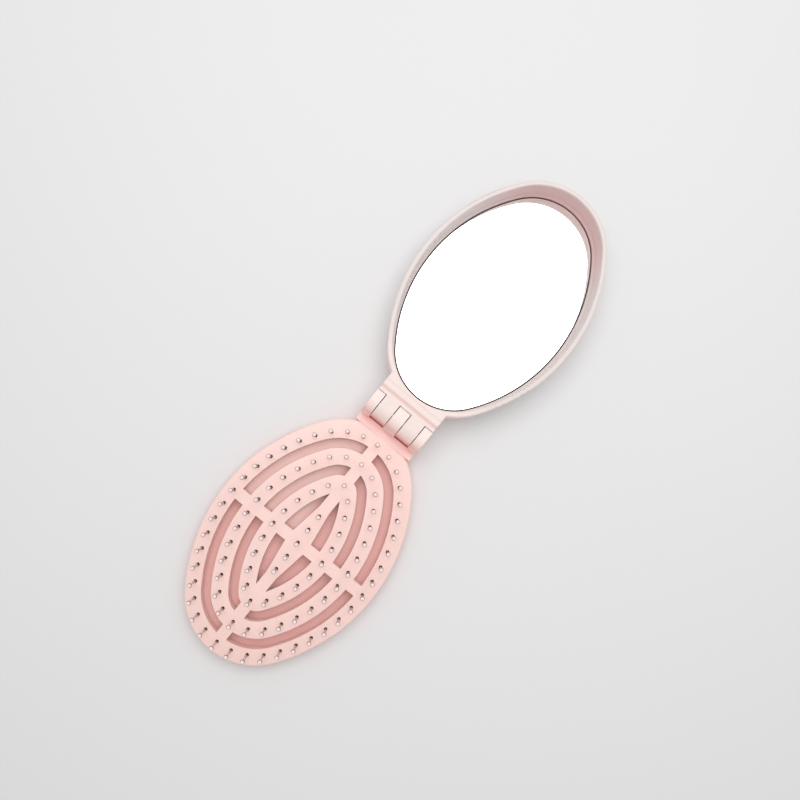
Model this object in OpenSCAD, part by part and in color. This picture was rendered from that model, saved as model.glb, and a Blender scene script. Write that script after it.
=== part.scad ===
// Folding hairbrush with a mirror: two oval halves on a five-finger hinge.
// X runs across, +Y points to the mirror's far end, Z is up. The brush lies
// open and flat. The origin is on the table, straight under the hinge axis.

/* [Overall] */
// Length from end to end when opened flat
open_length = 176; // [172:0.2:180]
// Width of the brush half, which is the wider one
open_width = 56.2; // [55.4:0.2:57]
// How far the mirror half stays inside the brush half's outline on each side
side_margin = 0.7; // [0:0.1:1]
// Height of the mirror half, up to its rim
mirror_height = 14; // [13.4:0.1:15]
// Gap between the two halves when they are folded together
fold_gap = 0.2; // [0.1:0.05:0.4]

/* [Mirror half] */
// Distance from the hinge axis to the mirror half's oval
mirror_nose = 6.8; // [6.4:0.2:7]
// Radius of the edge round the back of the mirror half
mirror_edge = 5; // [3:0.1:5.4]
// Radius of the outer edge of the rim
rim_edge = 0.5; // [0.2:0.1:0.6]
// Width of the flat rim
rim_wall = 1.4; // [1:0.1:1.5]
// How far the inner wall leans in on its way down
wall_draft = 0.2; // [0:0.1:0.4]
// Height of the sloping bezel round the glass
bezel_rise = 1; // [0.6:0.1:1.2]
// Distance from the outline in to the glass pocket
pocket_inset = 2.3; // [2.2:0.1:2.8]
// Gap round the glass in its pocket
glass_gap = 0.25; // [0.1:0.05:0.4]
// Thickness of the back of the mirror half
mirror_back = 2.2; // [1.6:0.1:2.6]
// Thickness of the double-sided adhesive tape that holds the glass
tape_thick = 1; // [0.6:0.1:1.2]
// How far the tape stays in from the edge of the glass
tape_inset = 2; // [1:0.5:4]
// Thickness of the glass
glass_thick = 1.7; // [1.4:0.1:2]

// Radius of the crease across the neck, beside the rim
crease_radius = 1.2; // [0.8:0.1:1.6]
// Depth of that crease
crease_depth = 0.2; // [0.1:0.05:0.3]

/* [Brush half] */
// Distance from the hinge axis to the brush half's oval
brush_nose = 5.4; // [5:0.2:6.6]
// Radius of the edge round the back of the brush half
brush_edge = 3.8; // [2:0.1:4]
// Thickness of the plate at its border
plate_thick = 1.5; // [1.3:0.1:1.8]
// Radius of the plate's outer edge
plate_edge = 0.7; // [0.3:0.1:0.8]
// Rise of the plate from its border to its flat middle
plate_crown = 0.9; // [0.4:0.1:1.1]
// Width of the plate's level border
border_width = 2; // [1.5:0.1:2.5]
// Width of the band that rises to the flat middle
crown_width = 12; // [10:0.5:13]
// Thickness of the tray's outer wall
tray_wall = 1.6; // [1.4:0.1:1.6]
// Thickness of the tray's floor
tray_floor = 1.4; // [1:0.1:1.6]
// Height of the tongue that seats the plate in the tray
tongue_height = 0.7; // [0.4:0.1:0.9]
// Gap round the tongue
tongue_gap = 0.05; // [0.02:0.01:0.1]

/* [Slots] */
// How much shorter than the plate the oval is that the rings follow
pattern_cut = 1.4; // [1:0.2:2]
// How far the middle of the rings lies from the plate's middle, away from the hinge
pattern_shift = 0.5; // [0.4:0.1:0.7]
// Width of every ring slot
slot_width = 3; // [2.8:0.1:3.2]
// Distance from the outline in to the outer ring slot
outer_slot = 5.1; // [5:0.1:5.3]
// Distance from the outline in to the middle ring slot
middle_slot = 13.2; // [13:0.1:13.4]
// Distance from the outline in to the pair of slots beside the centre leaf
inner_slot = 21.2; // [21:0.1:21.4]
// Width of the rib along the plate and of the rib across it
rib_width = 3.7; // [3.4:0.1:4]
// Width of the centre leaf at its middle
leaf_width = 7.5; // [7.2:0.1:7.8]
// Length of the centre leaf
leaf_length = 24.6; // [24:0.2:26]
// Thickness of the skirt round each slot
skirt_wall = 0.8; // [0.6:0.1:0.9]
// Gap between the skirts and the tray's floor
skirt_gap = 0.8; // [0.4:0.1:1]

/* [Pins] */
// Height of the pins above the border of the plate
pin_height = 8.2; // [7.4:0.1:8.4]
// Radius of a pin where it leaves its carrier
pin_root = 0.36; // [0.32:0.01:0.4]
// Radius of a pin under its ball
pin_neck = 0.28; // [0.24:0.01:0.32]
// Radius of the ball on each pin
ball_radius = 0.68; // [0.5:0.01:0.7]
// Radius of the hole that each pin passes
hole_radius = 0.52; // [0.5:0.01:0.6]
// Angle by which the pins at the far end lean outwards, in degrees
lean_angle = 5; // [0:0.5:5]
// Distance from the outline in to the outer ring of pins
outer_pins = 3.2; // [3.1:0.05:3.3]
// Distance from the outline in to the middle ring of pins
middle_pins = 10.7; // [10.5:0.1:10.9]
// Distance from the outline in to the inner ring of pins
inner_pins = 18.7; // [18.5:0.1:18.9]
// Number of pins in the outer ring
outer_count = 40; // [36:4:40]
// Number of pins in the middle ring
middle_count = 30; // [26:2:30]
// Number of pins in the inner ring
inner_count = 20; // [16:2:20]
// Number of pins in the centre row
centre_count = 5; // [3:2:5]
// Spacing of the pins in the centre row
centre_pitch = 5; // [4.6:0.1:5]
// Thickness of the carriers that the pins stand on
carrier_thick = 1; // [0.8:0.1:1.2]
// Width of the outer carrier
outer_carrier = 2; // [1.6:0.1:2.2]
// Width of the middle and inner carriers
inner_carrier = 2.4; // [2:0.1:2.4]
// Width of the centre carrier
centre_carrier = 1.8; // [1.6:0.1:2]
// Width of the tray's ribs under the carriers
support_width = 0.8; // [0.6:0.1:1]

/* [Hinge] */
// Radius of the round hinge fingers
knuckle_radius = 4; // [3.8:0.1:4.4]
// How far the brush half's fingers reach from the hinge axis
finger_reach = 5; // [4.8:0.1:5.2]
// Clearance between the fingers and the half that they turn in
turn_gap = 0.2; // [0.15:0.05:0.3]
// Gap between the two halves under the axis, which stops them when flat
stop_gap = 0.2; // [0.1:0.05:0.3]
// Width of the neck on both halves
neck_width = 20.9; // [20.6:0.1:21.4]
// Width of the middle finger, with half of each gap beside it
middle_finger = 4.2; // [4:0.1:4.6]
// Width of the two fingers of the mirror half, with half of each gap
mirror_finger = 5.3; // [5:0.1:5.5]
// Gap between neighbouring fingers
side_gap = 0.25; // [0.15:0.05:0.35]
// Where the slope on the brush half's fingers leaves their round, from the axis
slope_start = 2.8; // [2:0.1:3.2]
// How far under the axis the slope ends
slope_drop = 1.6; // [1:0.1:2]
// Radius of the steel hinge pin
pin_radius = 1.1; // [1:0.05:1.3]
// Clearance round the hinge pin in the mirror half's fingers
pin_clearance = 0.05; // [0.02:0.01:0.1]
// How far each end of the hinge pin is sunk
pin_sink = 0.3; // [0.1:0.1:0.6]

/* [Hidden] */
$fn = 96;
lap = 0.5;
far = 400;
pink = "#f3d3ca";
pale_pink = "#f6dcd4";

// An oval is four arcs: two round ends and two flatter sides, with common
// tangents. The centres of an end arc and of a side arc are the ends of the
// long side of a 3-4-5 triangle whose right angle is the oval's middle. A line
// parallel to the oval, a distance in, has the same four centres. An oval is
// named by the radius of its round ends and by the unit of its triangle.
join_sin = 3 / 5;
join_cos = 4 / 5;
join_angle = asin(join_sin);
function oval_of(width, length) = [width / 2 - (length - width) / 4, (length - width) / 4];
function end_c(o) = 3 * o[1];
function side_c(o) = 4 * o[1];
function side_r(o) = o[0] + 5 * o[1];
function half_length(o) = o[0] + end_c(o);

mirror_o = oval_of(open_width - 2 * side_margin, open_length / 2 - mirror_nose);
brush_o = oval_of(open_width, open_length / 2 - brush_nose);
pattern_o = oval_of(open_width, open_length / 2 - brush_nose - pattern_cut);
mirror_y = open_length / 2 - half_length(mirror_o);
brush_y = half_length(brush_o) - open_length / 2;
pattern_y = brush_y - pattern_shift;

// Levels above the table
axis_z = mirror_height - knuckle_radius;
brush_top = axis_z - knuckle_radius - fold_gap;
plate_under = brush_top - plate_thick;
plate_top = brush_top + plate_crown;
carrier_z = plate_under - carrier_thick;
skirt_z = tray_floor + skirt_gap;
glass_top = mirror_back + tape_thick + glass_thick;
bezel_foot = glass_top + 0.1;

// The plate's rise is one arc, level where it meets the flat middle
flat_inset = border_width + crown_width;
crown_radius = (crown_width * crown_width + plate_crown * plate_crown) / (2 * plate_crown);

// Sides of the fingers, before the gaps are taken off
inner_side = middle_finger / 2;
outer_side = inner_side + mirror_finger;
neck_side = neck_width / 2;
// The necks run on into the ovals, as far as their rounded edges need
neck_end = mirror_y - end_c(mirror_o) + lap
    - sqrt(pow(mirror_o[0] - mirror_edge, 2) - pow(neck_side - mirror_edge, 2));

// Lengths of one end's and one side's share of a quarter of the oval
function end_arc(o, inset) = (o[0] - inset) * (90 - join_angle) * PI / 180;
function side_arc(o, inset) = (side_r(o) - inset) * join_angle * PI / 180;

// A point on one quarter, a distance along from the end of the long axis
function quarter_point(o, inset, run) =
    run < end_arc(o, inset)
        ? let (r = o[0] - inset, t = run / r * 180 / PI)
            [r * sin(t), end_c(o) + r * cos(t)]
        : let (r = side_r(o) - inset,
               t = (end_arc(o, inset) + side_arc(o, inset) - run) / r * 180 / PI)
            [r * cos(t) - side_c(o), r * sin(t)];

// Evenly spaced points round an oval, from the end of the long axis onwards
function oval_points(o, inset, count) =
    let (quarter = end_arc(o, inset) + side_arc(o, inset))
    [for (i = [0 : count - 1])
        let (run = 4 * quarter * i / count,
             k = floor(run / quarter + 0.000001),
             rest = run - k * quarter,
             p = quarter_point(o, inset, k % 2 == 0 ? rest : quarter - rest),
             sx = k < 2 ? 1 : -1,
             sy = k == 0 || k == 3 ? 1 : -1)
        [sx * p[0], sy * p[1]]];

outer_spots = oval_points(pattern_o, outer_pins, outer_count);
middle_spots = oval_points(pattern_o, middle_pins, middle_count);
inner_spots = oval_points(pattern_o, inner_pins, inner_count);
centre_spots = [for (i = [0 : centre_count - 1])
    [0, (i - (centre_count - 1) / 2) * centre_pitch]];

// The plane area that an end arc spans, and the one that a side arc spans
module end_field(o) {
    polygon([
        [0, end_c(o)],
        [far * join_cos, end_c(o) + far * join_sin],
        [-far * join_cos, end_c(o) + far * join_sin]
    ]);
}

module side_field(o) {
    polygon([
        [0, -end_c(o)],
        [far * join_cos, -end_c(o) - far * join_sin],
        [far * join_cos, end_c(o) + far * join_sin],
        [0, end_c(o)]
    ]);
}

// The flat oval, or a parallel one inside it, which has points where it lies
// deeper than the round ends reach
module oval(o, inset = 0) {
    end_r = o[0] - inset;
    if (end_r > lap)
        square([2 * join_cos * (end_r - lap / 2), 2 * (end_c(o) + join_sin * (end_r - lap / 2))],
            center = true);
    for (s = [0, 1]) {
        if (end_r > 0)
            mirror([0, s])
                intersection() {
                    translate([0, end_c(o)]) circle(end_r);
                    end_field(o);
                }
        mirror([s, 0])
            intersection() {
                translate([-side_c(o), 0]) circle(side_r(o) - inset);
                side_field(o);
            }
    }
}

// A ring between two parallel ovals
module oval_ring(o, outside, inside) {
    difference() {
        oval(o, outside);
        oval(o, inside);
    }
}

// Carries a section round the oval: x = 0 is the outline and -x leads inwards
module round_oval(o) {
    for (s = [0, 1]) {
        mirror([0, s, 0])
            intersection() {
                translate([0, end_c(o), 0])
                    rotate_extrude() translate([o[0], 0]) children();
                translate([0, 0, -far / 2]) linear_extrude(far) end_field(o);
            }
        mirror([s, 0, 0])
            intersection() {
                translate([-side_c(o), 0, 0])
                    rotate_extrude() translate([side_r(o), 0]) children();
                translate([0, 0, -far / 2]) linear_extrude(far) side_field(o);
            }
    }
}

// Quarter of a disc
module quarter(r) {
    intersection() {
        circle(r);
        square(r);
    }
}

// Section of a body's edge: round under, and round or sharp at the top
module edge_section(height, under_r, top_r) {
    translate([-under_r - 2 * lap, 0]) square([2 * lap, height]);
    translate([-under_r, under_r]) square([under_r - top_r, height - under_r]);
    translate([-under_r, under_r]) mirror([0, 1]) quarter(under_r);
    if (top_r > 0) {
        translate([-top_r, under_r]) square([top_r, height - under_r - top_r]);
        translate([-top_r, height - top_r]) quarter(top_r);
    }
}

// Solid oval body with rounded edges
module oval_body(o, height, under_r, top_r) {
    round_oval(o) edge_section(height, under_r, top_r);
    linear_extrude(height) oval(o, under_r + lap);
}

// Neck towards the hinge, with the same rounded edges, from the stop to the oval
module neck(height, under_r, top_r) {
    translate([0, neck_end, 0])
        rotate([90, 0, 0])
            linear_extrude(neck_end - stop_gap / 2)
                for (s = [0, 1])
                    mirror([s, 0]) {
                        translate([neck_side, 0]) edge_section(height, under_r, top_r);
                        square([neck_side - under_r - lap, height]);
                    }
}

// Disc or bar along the hinge axis, between two places across the brush
module along_axis(from, to) {
    translate([from, 0, axis_z])
        rotate([90, 0, 90])
            linear_extrude(to - from) children();
}

// Section of a brush finger: flat on top towards the mirror, and round and then
// sloping down towards the brush
module brush_finger() {
    slope_top = floor(10 * sqrt(pow(knuckle_radius, 2) - pow(slope_start, 2))) / 10;
    intersection() {
        circle(finger_reach);
        union() {
            circle(knuckle_radius);
            polygon([
                [0, knuckle_radius],
                [finger_reach + lap, knuckle_radius],
                [finger_reach + lap, -finger_reach - lap],
                [0, -finger_reach - lap]
            ]);
            polygon([
                [lap, 0],
                [-slope_start, slope_top],
                [-finger_reach, -slope_drop],
                [-finger_reach - lap, -finger_reach - lap],
                [lap, -finger_reach - lap]
            ]);
        }
    }
}

// The slots in plan, each grown by a margin on every side
module slots(grow = 0) {
    difference() {
        union() {
            oval_ring(pattern_o, outer_slot - grow, outer_slot + slot_width + grow);
            oval_ring(pattern_o, middle_slot - grow, middle_slot + slot_width + grow);
            difference() {
                oval(pattern_o, inner_slot - grow);
                leaf(grow);
            }
        }
        square([rib_width - 2 * grow, far], center = true);
        square([far, rib_width - 2 * grow], center = true);
    }
}

// The leaf between the two inner slots, drawn in by a margin
module leaf(shrink = 0) {
    half_w = leaf_width / 2 - shrink;
    half_rib = rib_width / 2 - shrink;
    polygon([
        [half_w, 0], [half_rib, leaf_length / 2],
        [-half_rib, leaf_length / 2], [-half_w, 0],
        [-half_rib, -leaf_length / 2], [half_rib, -leaf_length / 2]
    ]);
}

// Section of the plate's edge and rise
module plate_section() {
    edge_top = plate_top - crown_radius
        + sqrt(crown_radius * crown_radius - pow(flat_inset - plate_edge, 2));
    corner_z = floor((edge_top - plate_edge) * 100) / 100;
    intersection() {
        translate([-flat_inset, plate_top - crown_radius]) circle(crown_radius, $fn = 720);
        union() {
            translate([-flat_inset, plate_under])
                square([flat_inset - plate_edge, plate_crown + 2 * plate_thick]);
            translate([-plate_edge, plate_under]) square([plate_edge, corner_z - plate_under]);
            translate([-plate_edge, corner_z]) quarter(plate_edge);
        }
    }
    translate([-flat_inset - 2 * lap, plate_under])
        square([2 * lap, plate_top - plate_under]);
}

module mirror_shell() {
    color(pink)
        difference() {
            union() {
                translate([0, mirror_y, 0])
                    oval_body(mirror_o, mirror_height, mirror_edge, rim_edge);
                neck(mirror_height, mirror_edge, rim_edge);
                for (s = [0, 1])
                    mirror([s, 0, 0])
                        along_axis(inner_side + side_gap / 2, outer_side - side_gap / 2)
                            circle(knuckle_radius);
            }
            // the recess, its bezel and the pocket for the glass
            translate([0, mirror_y, 0]) {
                round_oval(mirror_o)
                    polygon([
                        [-rim_wall, mirror_height + lap],
                        [-rim_wall, mirror_height],
                        [-rim_wall - wall_draft, bezel_foot + bezel_rise],
                        [-pocket_inset, bezel_foot],
                        [-pocket_inset - 2 * lap, bezel_foot],
                        [-pocket_inset - 2 * lap, mirror_height + lap]
                    ]);
                translate([0, 0, mirror_back])
                    linear_extrude(mirror_height) oval(mirror_o, pocket_inset);
            }
            // crease where the neck meets the rim
            translate([-neck_side - lap, mirror_nose, mirror_height + crease_radius - crease_depth])
                rotate([0, 90, 0])
                    cylinder(h = neck_width + 2 * lap, r = crease_radius);
            // room for the brush half's fingers
            along_axis(-inner_side - side_gap / 2, inner_side + side_gap / 2)
                circle(finger_reach + turn_gap);
            for (s = [0, 1])
                mirror([s, 0, 0])
                    along_axis(outer_side - side_gap / 2, neck_side + lap)
                        circle(finger_reach + turn_gap);
            // running bore
            along_axis(-neck_side, neck_side) circle(pin_radius + pin_clearance);
        }
}

module mirror_tape() {
    color("#d8d4d0")
        translate([0, mirror_y, mirror_back])
            linear_extrude(tape_thick) oval(mirror_o, pocket_inset + glass_gap + tape_inset);
}

module mirror_glass() {
    color("#e9eef0")
        translate([0, mirror_y, mirror_back + tape_thick])
            linear_extrude(glass_thick) oval(mirror_o, pocket_inset + glass_gap);
}

module hinge_pin() {
    color("#b9bcc0")
        along_axis(-neck_side + pin_sink, neck_side - pin_sink) circle(pin_radius);
}

module bristle_plate() {
    color(pale_pink)
        difference() {
            union() {
                translate([0, brush_y, 0]) {
                    difference() {
                        union() {
                            round_oval(brush_o) plate_section();
                            translate([0, 0, plate_under])
                                linear_extrude(plate_top - plate_under)
                                    oval(brush_o, flat_inset + lap);
                        }
                        translate([0, -pattern_shift, plate_under - lap])
                            linear_extrude(plate_top - plate_under + 2 * lap) slots();
                    }
                    // skirts down from the edges of the slots
                    translate([0, -pattern_shift, skirt_z])
                        linear_extrude(plate_under - skirt_z + lap)
                            difference() {
                                slots(skirt_wall);
                                slots();
                            }
                    // tongue that seats in the tray's wall
                    translate([0, 0, plate_under - tongue_height])
                        linear_extrude(tongue_height + lap)
                            oval_ring(brush_o, tray_wall / 2 + tongue_gap, tray_wall);
                }
                plate_neck();
                along_axis(-inner_side + side_gap / 2, inner_side - side_gap / 2) brush_finger();
                for (s = [0, 1])
                    mirror([s, 0, 0])
                        along_axis(outer_side + side_gap / 2, neck_side) brush_finger();
            }
            // press bore for the hinge pin
            along_axis(-neck_side - lap, neck_side + lap) circle(pin_radius);
            // holes for the brush pins
            translate([0, pattern_y, plate_under - lap])
                for (p = concat(outer_spots, middle_spots, inner_spots, centre_spots))
                    translate(p) cylinder(h = plate_top, r = hole_radius, $fn = 24);
        }
}

// The plate's part of the neck, level with its border
module plate_neck() {
    nose = brush_y + half_length(brush_o) - border_width;
    translate([-neck_side, nose, plate_under])
        cube([neck_width, -stop_gap / 2 - nose, plate_thick]);
}

module brush_back() {
    color(pink)
        difference() {
            union() {
                translate([0, brush_y, 0]) oval_body(brush_o, plate_under, brush_edge, 0);
                mirror([0, 1, 0]) neck(plate_under, brush_edge, 0);
            }
            translate([0, brush_y, tray_floor])
                difference() {
                    linear_extrude(plate_under) oval(brush_o, tray_wall);
                    // ribs that press the pin carriers up against the plate
                    translate([0, -pattern_shift, 0])
                        linear_extrude(carrier_z - tray_floor) supports();
                }
            translate([0, brush_y, plate_under - tongue_height - tongue_gap])
                linear_extrude(plate_under) oval(brush_o, tray_wall / 2);
        }
}

// Ribs on the tray's floor, in plan
module supports() {
    half = support_width / 2;
    for (inset = [outer_pins, middle_pins, inner_pins])
        oval_ring(pattern_o, inset - half, inset + half);
    square([support_width, centre_pitch * (centre_count - 1)], center = true);
}

// One pin with its ball, standing in its carrier and leaning about its hole
module brush_pin(p) {
    lean = lean_angle * max(0, -p[1] / half_length(pattern_o));
    foot = plate_thick + carrier_thick / 2;
    reach = pin_height - ball_radius;
    translate([p[0], p[1], brush_top])
        rotate([lean, 0, 0]) {
            translate([0, 0, -foot])
                cylinder(h = foot + reach, r1 = pin_root, r2 = pin_neck, $fn = 16);
            translate([0, 0, reach]) sphere(ball_radius, $fn = 16);
        }
}

// A ring of pins on its oval carrier
module pin_ring(inset, width, spots) {
    color("white")
        translate([0, pattern_y, 0]) {
            translate([0, 0, carrier_z])
                linear_extrude(carrier_thick)
                    oval_ring(pattern_o, inset - width / 2, inset + width / 2);
            for (p = spots) brush_pin(p);
        }
}

module outer_pin_ring() {
    pin_ring(outer_pins, outer_carrier, outer_spots);
}

module middle_pin_ring() {
    pin_ring(middle_pins, inner_carrier, middle_spots);
}

module inner_pin_ring() {
    pin_ring(inner_pins, inner_carrier, inner_spots);
}

module centre_pin_strip() {
    length = centre_pitch * (centre_count - 1) + centre_carrier;
    color("white")
        translate([0, pattern_y, 0]) {
            translate([-centre_carrier / 2, -length / 2, carrier_z])
                cube([centre_carrier, length, carrier_thick]);
            for (p = centre_spots) brush_pin(p);
        }
}

mirror_shell();
mirror_tape();
mirror_glass();
hinge_pin();
bristle_plate();
brush_back();
outer_pin_ring();
middle_pin_ring();
inner_pin_ring();
centre_pin_strip();
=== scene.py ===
"""Folding hairbrush with a mirror, lying open and flat: materials, glass, light and camera."""

import math

import bmesh
import bpy
from mathutils import Matrix, Vector


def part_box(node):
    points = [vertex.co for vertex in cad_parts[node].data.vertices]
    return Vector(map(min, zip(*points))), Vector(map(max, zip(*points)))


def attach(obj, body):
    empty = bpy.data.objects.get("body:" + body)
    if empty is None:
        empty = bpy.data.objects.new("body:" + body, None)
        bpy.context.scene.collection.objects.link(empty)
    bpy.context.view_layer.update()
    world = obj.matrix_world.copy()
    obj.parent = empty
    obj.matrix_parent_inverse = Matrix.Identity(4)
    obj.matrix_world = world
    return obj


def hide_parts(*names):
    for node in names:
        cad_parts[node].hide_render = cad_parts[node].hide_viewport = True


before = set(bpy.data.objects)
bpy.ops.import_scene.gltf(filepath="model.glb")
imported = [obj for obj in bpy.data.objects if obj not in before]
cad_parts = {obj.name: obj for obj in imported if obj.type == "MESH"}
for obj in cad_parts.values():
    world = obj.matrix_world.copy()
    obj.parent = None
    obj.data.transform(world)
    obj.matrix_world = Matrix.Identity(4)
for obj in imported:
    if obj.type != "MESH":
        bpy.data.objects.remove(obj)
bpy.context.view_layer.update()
scene = bpy.context.scene
scene.view_settings.view_transform = "Standard"
MM = 0.001

# ---------------------------------------------------------------- camera

FOCAL_PIXELS = 850
FRAME_PIXELS = 800
CAMERA_AT = Vector((0.28, -17.11, 264.42)) * MM
# columns: the camera's right, up and backward directions
CAMERA_AXES = (
    (0.773827, -0.633235, 0.014302),
    (0.631883, 0.770220, -0.086518),
    (0.043770, 0.075987, 0.996148),
)


def make_camera():
    data = bpy.data.cameras.new("camera")
    data.sensor_width = 36
    data.lens = FOCAL_PIXELS / FRAME_PIXELS * data.sensor_width
    data.clip_start = 0.01
    data.clip_end = 20
    cam = bpy.data.objects.new("camera", data)
    scene.collection.objects.link(cam)
    cam.matrix_world = Matrix.Translation(CAMERA_AT) @ Matrix(CAMERA_AXES).to_4x4()
    scene.camera = cam


make_camera()

# ---------------------------------------------------------------- node helpers

NOISE_LOW, NOISE_HIGH = 0.3, 0.7  # nearly all of a noise lies between these


class Nodes:
    """Short calls for building a material's node tree. Lengths are in millimetres."""

    def __init__(self, name):
        self.mat = bpy.data.materials.new(name)
        self.mat.use_nodes = True
        self.tree = self.mat.node_tree
        self.tree.nodes.clear()
        out = self.tree.nodes.new("ShaderNodeOutputMaterial")
        self.bsdf = self.tree.nodes.new("ShaderNodeBsdfPrincipled")
        self.link(self.bsdf.outputs["BSDF"], out.inputs["Surface"])
        coord = self.tree.nodes.new("ShaderNodeTexCoord")
        scale = self.tree.nodes.new("ShaderNodeVectorMath")
        scale.operation = "SCALE"
        scale.inputs["Scale"].default_value = 1 / MM
        self.link(coord.outputs["Object"], scale.inputs[0])
        self.place = scale.outputs[0]
        self.facing = coord.outputs["Normal"]

    def link(self, a, b):
        self.tree.links.new(a, b)

    def put(self, socket, value):
        if isinstance(value, bpy.types.NodeSocket):
            self.link(value, socket)
        else:
            socket.default_value = value

    def set(self, **sockets):
        """Links or sets the shader's own sockets."""
        for name, value in sockets.items():
            self.put(self.bsdf.inputs[name.replace("_", " ")], value)

    def noise(self, size, detail=3.0, rough=0.5, stretch=(1, 1, 1)):
        """Noise whose blobs are about size millimetres across, from 0 to 1."""
        mapping = self.tree.nodes.new("ShaderNodeMapping")
        mapping.inputs["Scale"].default_value = stretch
        self.link(self.place, mapping.inputs["Vector"])
        node = self.tree.nodes.new("ShaderNodeTexNoise")
        node.inputs["Scale"].default_value = 1 / size
        node.inputs["Detail"].default_value = detail
        node.inputs["Roughness"].default_value = rough
        self.link(mapping.outputs[0], node.inputs["Vector"])
        return node.outputs["Fac"]

    def math(self, operation, *values):
        node = self.tree.nodes.new("ShaderNodeMath")
        node.operation = operation
        for socket, value in zip(node.inputs, values):
            self.put(socket, value)
        return node.outputs[0]

    def vector(self, operation, *values, output="Vector"):
        node = self.tree.nodes.new("ShaderNodeVectorMath")
        node.operation = operation
        for socket, value in zip(node.inputs, values):
            self.put(socket, value)
        return node.outputs[output]

    def ramp(self, value, low, high, to_low=0.0, to_high=1.0):
        """Smooth change from to_low, where value is low, to to_high, where it is high."""
        node = self.tree.nodes.new("ShaderNodeMapRange")
        node.interpolation_type = "SMOOTHSTEP"
        for socket, number in zip(node.inputs, (value, low, high, to_low, to_high)):
            self.put(socket, number)
        return node.outputs[0]

    def spread(self, noise, to_low=0.0, to_high=1.0):
        """A noise drawn out over the whole of a range."""
        return self.ramp(noise, NOISE_LOW, NOISE_HIGH, to_low, to_high)

    def mix(self, factor, a, b):
        node = self.tree.nodes.new("ShaderNodeMix")
        node.data_type = "RGBA"
        # inputs 6 and 7 and output 2 are the colour ones
        self.put(node.inputs[0], factor)
        self.put(node.inputs[6], a)
        self.put(node.inputs[7], b)
        return node.outputs[2]

    def axis(self, letter):
        """The place along X, Y or Z."""
        node = self.tree.nodes.new("ShaderNodeSeparateXYZ")
        self.link(self.place, node.inputs[0])
        return node.outputs[letter]

    def distance(self, value, centre):
        """How far a value is from a centre, either way."""
        return self.math("ABSOLUTE", self.math("SUBTRACT", value, centre))

    def inward(self, centre):
        """How far a wall faces the upright axis through a centre, from -1 to 1."""
        to_centre = self.vector("SUBTRACT", centre, self.place)
        level = self.vector("MULTIPLY", to_centre, (1, 1, 0))
        towards = self.vector("NORMALIZE", level)
        return self.vector("DOT_PRODUCT", towards, self.facing, output="Value")

    def soft_edges(self, radius):
        """Rounds the light on sharp edges over a radius in millimetres."""
        node = self.tree.nodes.new("ShaderNodeBevel")
        node.samples = 4
        node.inputs["Radius"].default_value = radius * MM
        return node.outputs[0]

    def bump(self, height, depth, under=None):
        """Bump whose height socket spans a depth in millimetres."""
        node = self.tree.nodes.new("ShaderNodeBump")
        node.inputs["Distance"].default_value = depth * MM
        self.put(node.inputs["Height"], height)
        if under is not None:
            self.link(under, node.inputs["Normal"])
        return node.outputs[0]


def srgb(*colour):
    """A colour written as 0 to 255, as linear values for a socket."""
    shares = [c / 255 for c in colour]
    return (*(c / 12.92 if c <= 0.04045 else ((c + 0.055) / 1.055) ** 2.4 for c in shares), 1.0)


# ---------------------------------------------------------------- places, in millimetres

GLASS_LOW, GLASS_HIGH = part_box("mirror_glass")
MIRROR_CENTRE = (0, (GLASS_LOW.y + GLASS_HIGH.y) / 2 / MM, 0)
PIN_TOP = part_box("centre_pin_strip")[1].z / MM
PIN_ROOT = 6.7  # where the pins come out of the plate
BALL = 1.36  # a pin's ball, across
PARTING = 6.0  # height of the mirror shell's parting line
CREASE = 4.9  # how far the crease in the mirror half's neck is behind the hinge axis
NECK_TOP = (13.5, 13.1)  # the crease is on the top alone, and fades over these heights
ARRIS = 0.22  # width of the broken edge of the glass

# ---------------------------------------------------------------- materials


def along(n, axis):
    """What a zone is measured along: see tint."""
    if axis == "in":
        return n.inward(MIRROR_CENTRE)
    if axis == "x":
        return n.math("ABSOLUTE", n.axis("X"))
    return n.axis(axis)


def tint(n, colour, zones):
    """Fades a colour to others by place.

    Each zone is the colour that it fades to and the stretches that it needs all
    of. A stretch is an axis, where the zone starts and where it is full. X, Y and
    Z are places in millimetres, x is the distance from the middle plane, and in
    is how far a wall faces the middle of the mirror half.
    """
    for other, stretches in zones:
        share = 1.0
        for axis, start, full in stretches:
            share = n.math("MULTIPLY", n.ramp(along(n, axis), start, full), share)
        colour = n.mix(share, colour, other)
    return colour


def moulded_plastic(name, base, deep, gloss, edge_radius, parting=None, crease=None, zones=()):
    """Opaque moulded plastic: faint flow marks, fine grain, worn gloss and soft edges."""
    n = Nodes(name)
    flow = n.noise(14, detail=4, rough=0.55, stretch=(1, 0.45, 1))
    speck = n.noise(0.9, detail=2)
    tone = n.math("MULTIPLY_ADD", speck, 0.35, n.math("MULTIPLY", flow, 0.65))
    n.set(Base_Color=tint(n, n.mix(n.spread(tone), base, deep), zones))
    rub = n.noise(5, detail=5, rough=0.65)
    n.set(Roughness=n.spread(rub, gloss - 0.05, gloss + 0.07))
    grain = n.noise(0.32, detail=3, rough=0.6)
    waves = n.noise(3.2, detail=2)
    surface = n.bump(grain, depth=0.004, under=n.soft_edges(edge_radius))
    surface = n.bump(waves, depth=0.01, under=surface)
    if parting is not None:
        groove = n.ramp(n.distance(n.axis("Z"), parting), 0.02, 0.12)
        surface = n.bump(groove, depth=0.03, under=surface)
    if crease is not None:
        groove = n.ramp(n.distance(n.axis("Y"), crease), 0.1, 0.8)
        below_top = n.ramp(n.axis("Z"), *NECK_TOP)
        surface = n.bump(n.math("MAXIMUM", groove, below_top), depth=0.08, under=surface)
    n.set(
        Normal=surface,
        IOR=1.49,
        Specular_IOR_Level=0.4,
        Subsurface_Weight=0.12,
        Subsurface_Radius=(1.0, 0.45, 0.35),
        Subsurface_Scale=0.8 * MM,
    )
    return n.mat


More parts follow.
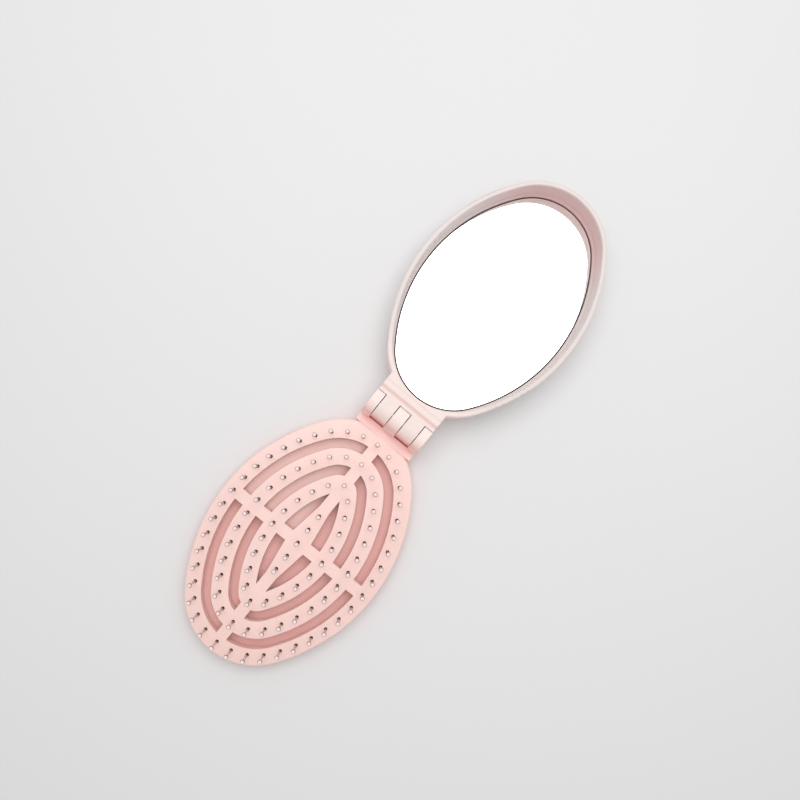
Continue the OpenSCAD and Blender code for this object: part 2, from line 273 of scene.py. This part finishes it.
def pin_nylon(name, root, ball_foot):
    """Clear nylon pins, darker and pinker towards the root as painted shade, with milky tops on
    their balls.
    """
    n = Nodes(name)
    z = n.axis("Z")
    cloud = n.noise(1.1, detail=3)
    # painted shade: the shaft darker and pinker near the root, paling towards its top
    low = n.mix(cloud, srgb(200, 150, 144), srgb(214, 166, 160))
    high = n.mix(cloud, srgb(250, 232, 227), srgb(246, 225, 219))
    cap = n.mix(cloud, srgb(254, 232, 226), srgb(251, 225, 218))
    shaft = n.mix(n.ramp(z, root + 1.0, root + 4.0), low, high)
    n.set(
        Base_Color=n.mix(n.ramp(z, ball_foot + 0.7, ball_foot + 0.9), shaft, cap),
        Transmission_Weight=n.ramp(z, ball_foot + 0.86, ball_foot + 1.2, 1.0, 0.04),
        Roughness=n.spread(n.noise(0.6, detail=3), 0.05, 0.14),
        Normal=n.bump(n.noise(0.18, detail=2), depth=0.002),
        IOR=1.5,
    )
    return n.mat


def silvered_glass(name):
    """Mirror face: silver seen through clear glass, with the faintest smudges."""
    n = Nodes(name)
    cloud = n.noise(9, detail=4, rough=0.6)
    smear = n.noise(6, detail=6, rough=0.7, stretch=(1, 0.3, 1))
    n.set(
        Base_Color=n.mix(cloud, (0.96, 0.965, 0.96, 1), (0.985, 0.985, 0.98, 1)),
        Roughness=n.ramp(smear, 0.5, 0.8, 0.012, 0.05),
        Normal=n.bump(n.noise(18, detail=1), depth=0.002),
        Metallic=1.0,
    )
    return n.mat


def glass_edge(name):
    """Ground edge of the glass, coloured dark: painted shade for the crevice round the pane."""
    n = Nodes(name)
    chips = n.noise(0.35, detail=4, rough=0.7)
    n.set(
        Base_Color=n.mix(n.ramp(chips, 0.35, 0.75), srgb(52, 42, 42), srgb(96, 84, 82)),
        Roughness=n.spread(n.noise(1.2), 0.3, 0.5),
        Normal=n.bump(chips, depth=0.02),
    )
    return n.mat


def tape_face(name):
    """Pale adhesive tape with a fine closed grain."""
    n = Nodes(name)
    cells = n.noise(0.25, detail=3, rough=0.6)
    n.set(
        Base_Color=n.mix(cells, srgb(214, 210, 205), srgb(236, 232, 227)),
        Roughness=n.spread(n.noise(2), 0.6, 0.8),
        Normal=n.bump(cells, depth=0.05),
    )
    return n.mat


def drawn_steel(name):
    """Drawn wire steel: fine lines along the pin."""
    n = Nodes(name)
    lines = n.noise(0.2, detail=4, stretch=(0.02, 1, 1))
    n.set(
        Base_Color=n.mix(lines, (0.5, 0.5, 0.51, 1), (0.62, 0.62, 0.63, 1)),
        Roughness=n.spread(lines, 0.22, 0.36),
        Normal=n.bump(lines, depth=0.004),
        Metallic=1.0,
    )
    return n.mat


# the inside of the mirror half, where its shade is painted: under its lip, above its back and
# facing its middle
RECESS = (("Z", 13.6, 12.4), ("Z", 1.9, 2.15), ("in", -0.25, -0.05))

shell_pink = moulded_plastic(
    "shell_pink",
    base=srgb(243, 226, 221),
    deep=srgb(240, 221, 216),
    gloss=0.55,
    edge_radius=0.25,
    parting=PARTING,
    crease=CREASE,
    zones=(
        # greyer away from the hinge; then painted shade on the sides of the recess, and deeper,
        # pinker painted shade on its far end
        (srgb(227, 216, 213), [("Y", 11, 22)]),
        (srgb(225, 213, 210), [("Y", 11, 22), *RECESS]),
        (srgb(222, 188, 186), [("Y", 62, 84), *RECESS]),
        # painted shade in the crease
        (srgb(228, 196, 188), [("Y", 4.1, 4.8), ("Y", 5.8, 5.1), ("Z", 13.2, 13.6)]),
        # the fingers: painted light, lighter and pinker on their lower flanks, then painted shade
        # at their ends
        (srgb(255, 220, 215), [("Y", -2.2, -3.2)]),
        (srgb(246, 194, 189), [("Y", -3.5, -3.9)]),
    ),
)
back_pink = moulded_plastic(
    "back_pink",
    base=srgb(248, 205, 199),
    deep=srgb(245, 198, 192),
    gloss=0.42,
    edge_radius=0.2,
    zones=(
        # painted light: the tray's floor paler on the left towards the hinge
        (
            srgb(255, 226, 220),
            [("X", 1, -6), ("Y", -50, -44), ("Z", 1.25, 1.36), ("Z", 1.6, 1.44)],
        ),
    ),
)
plate_pink = moulded_plastic(
    "plate_pink",
    base=srgb(253, 220, 213),
    deep=srgb(251, 215, 208),
    gloss=0.38,
    edge_radius=0.22,
    zones=(
        # the fingers, paler than the plate, and the neck before them pinker and darker: painted
        # shade with pink bounce light in the trough
        (srgb(247, 227, 221), [("Y", -3.6, -1.4)]),
        (srgb(254, 213, 207), [("Y", -8, -6), ("Y", -2.6, -3.8)]),
        # before each of the mirror half's fingers: painted shade with pink bounce light, and a
        # painted shadow line in the gap at its end
        (
            srgb(254, 202, 197),
            [("Y", -7, -5), ("Y", -3.4, -4), ("x", 1.2, 2.6), ("x", 9.5, 7.5)],
        ),
        (
            srgb(170, 84, 84),
            [("Y", -4.75, -4.5), ("Y", -4.0, -4.15), ("x", 2.1, 2.3), ("x", 7.6, 7.4)],
        ),
    ),
)
nylon = pin_nylon("nylon", PIN_ROOT, PIN_TOP - BALL)
silver = silvered_glass("silver")
edge = glass_edge("glass_edge")
tape = tape_face("tape")
steel = drawn_steel("steel")

NODE_MATERIALS = {
    "mirror_shell": shell_pink,
    "mirror_tape": tape,
    "hinge_pin": steel,
    "bristle_plate": plate_pink,
    "brush_back": back_pink,
    "outer_pin_ring": nylon,
    "middle_pin_ring": nylon,
    "inner_pin_ring": nylon,
    "centre_pin_strip": nylon,
}
for node_name, material in NODE_MATERIALS.items():
    for material_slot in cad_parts[node_name].material_slots:
        material_slot.material = material

# ---------------------------------------------------------------- the glass


def oval_loop(width, length, inset, steps=40):
    """Points round an oval of four arcs, or a parallel one inside it.

    The centres of its end arcs and side arcs make 3-4-5 triangles, as in the shell.
    """
    unit = (length - width) / 4
    end_r, side_r = width / 2 - unit - inset, width / 2 + 4 * unit - inset
    join = math.asin(0.6)
    quarter = []
    for i in range(steps + 1):
        t = join * i / steps
        quarter.append((side_r * math.cos(t) - 4 * unit, side_r * math.sin(t)))
    for i in range(1, steps + 1):
        t = join + (math.pi / 2 - join) * i / steps
        quarter.append((end_r * math.cos(t), 3 * unit + end_r * math.sin(t)))
    half = quarter + [(-x, y) for x, y in reversed(quarter[:-1])]
    return half + [(-x, -y) for x, y in half[1:-1]]


def make_glass(face, rim):
    """The mirror: an oval pane with a ground, slightly broken edge."""
    low, high = GLASS_LOW, GLASS_HIGH
    width, length = (high.x - low.x) / MM, (high.y - low.y) / MM
    centre = Vector(((low.x + high.x) / 2, (low.y + high.y) / 2, 0))
    bottom, top = low.z / MM, high.z / MM
    # how far in each ring is, and its height
    rings = (
        (ARRIS, bottom),
        (0.0, bottom + ARRIS),
        (0.0, top - ARRIS),
        (ARRIS * 0.4, top - ARRIS * 0.25),
        (ARRIS, top),
    )
    bm = bmesh.new()
    loops = [
        [bm.verts.new(centre + Vector((x, y, z)) * MM) for x, y in oval_loop(width, length, inset)]
        for inset, z in rings
    ]
    for below, above in zip(loops, loops[1:]):
        for i in range(len(below)):
            j = (i + 1) % len(below)
            side = bm.faces.new((below[i], below[j], above[j], above[i]))
            side.material_index = 1
            side.smooth = True
    bm.faces.new(loops[-1]).material_index = 0
    bm.faces.new(list(reversed(loops[0]))).material_index = 1
    bm.normal_update()
    mesh = bpy.data.meshes.new("mirror_pane")
    bm.to_mesh(mesh)
    bm.free()
    mesh.materials.append(face)
    mesh.materials.append(rim)
    pane = bpy.data.objects.new("mirror_pane", mesh)
    scene.collection.objects.link(pane)
    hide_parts("mirror_glass")
    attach(pane, "mirror")


make_glass(silver, edge)

# ---------------------------------------------------------------- floor, light

FLOOR_HALF = 2.5  # metres from its middle to its edge
GLOW_FROM, GLOW_TO = 150, 700  # millimetres from the middle of the floor
GLOW = 0.34
ROOM_LIGHT = 0.58
LAMP_AT = (-0.06, 0.125, 0.43)
LAMP_SIDE = 0.4
LAMP_WATTS = 1.2


def background_mask(tree):
    """1 where the camera looks, also in the mirror or through nylon, and 0 for diffuse light."""
    path = tree.nodes.new("ShaderNodeLightPath")
    seen = path.outputs["Is Camera Ray"]
    for kind in ("Is Glossy Ray", "Is Transmission Ray"):
        larger = tree.nodes.new("ShaderNodeMath")
        larger.operation = "MAXIMUM"
        tree.links.new(seen, larger.inputs[0])
        tree.links.new(path.outputs[kind], larger.inputs[1])
        seen = larger.outputs[0]
    return seen


def make_floor():
    """A plain pale sheet of board."""
    n = Nodes("board")
    cloud = n.noise(160, detail=2)
    fibre = n.noise(0.7, detail=3)
    tone = n.math("MULTIPLY_ADD", fibre, 0.15, n.math("MULTIPLY", cloud, 0.85))
    # far from the lamp the board still looks pale, and lights nothing
    far = n.ramp(n.vector("LENGTH", n.place, output="Value"), GLOW_FROM, GLOW_TO, 0.0, GLOW)
    n.set(
        Base_Color=n.mix(tone, srgb(228, 228, 229), srgb(231, 231, 231)),
        Roughness=n.spread(fibre, 0.75, 0.9),
        Normal=n.bump(fibre, depth=0.02),
        Specular_IOR_Level=0.2,
        Emission_Color=(1, 1, 1, 1),
        Emission_Strength=n.math("MULTIPLY", far, background_mask(n.tree)),
    )
    mesh = bpy.data.meshes.new("floor")
    corners = [(x * FLOOR_HALF, y * FLOOR_HALF, 0) for x, y in ((-1, -1), (1, -1), (1, 1), (-1, 1))]
    mesh.from_pydata(corners, [], [(0, 1, 2, 3)])
    mesh.materials.append(n.mat)
    floor = bpy.data.objects.new("floor", mesh)
    scene.collection.objects.link(floor)


def make_world():
    """Even light from all round; the camera and reflections see a white studio."""
    world = bpy.data.worlds.new("studio")
    scene.world = world
    world.use_nodes = True
    tree = world.node_tree
    tree.nodes.clear()
    out = tree.nodes.new("ShaderNodeOutputWorld")
    mix = tree.nodes.new("ShaderNodeMixShader")
    tree.links.new(background_mask(tree), mix.inputs[0])
    sides = (((1, 0.995, 0.99, 1), ROOM_LIGHT), ((1, 1, 1, 1), 1.0))
    for socket, (colour, strength) in zip(mix.inputs[1:], sides):
        background = tree.nodes.new("ShaderNodeBackground")
        background.inputs["Color"].default_value = colour
        background.inputs["Strength"].default_value = strength
        tree.links.new(background.outputs[0], socket)
    tree.links.new(mix.outputs[0], out.inputs[0])


def make_lamp():
    """One large square lamp, straight above."""
    data = bpy.data.lights.new("overhead", "AREA")
    data.shape = "SQUARE"
    data.size = LAMP_SIDE
    data.energy = LAMP_WATTS
    lamp = bpy.data.objects.new("overhead", data)
    lamp.location = LAMP_AT
    scene.collection.objects.link(lamp)


make_floor()
make_world()
make_lamp()
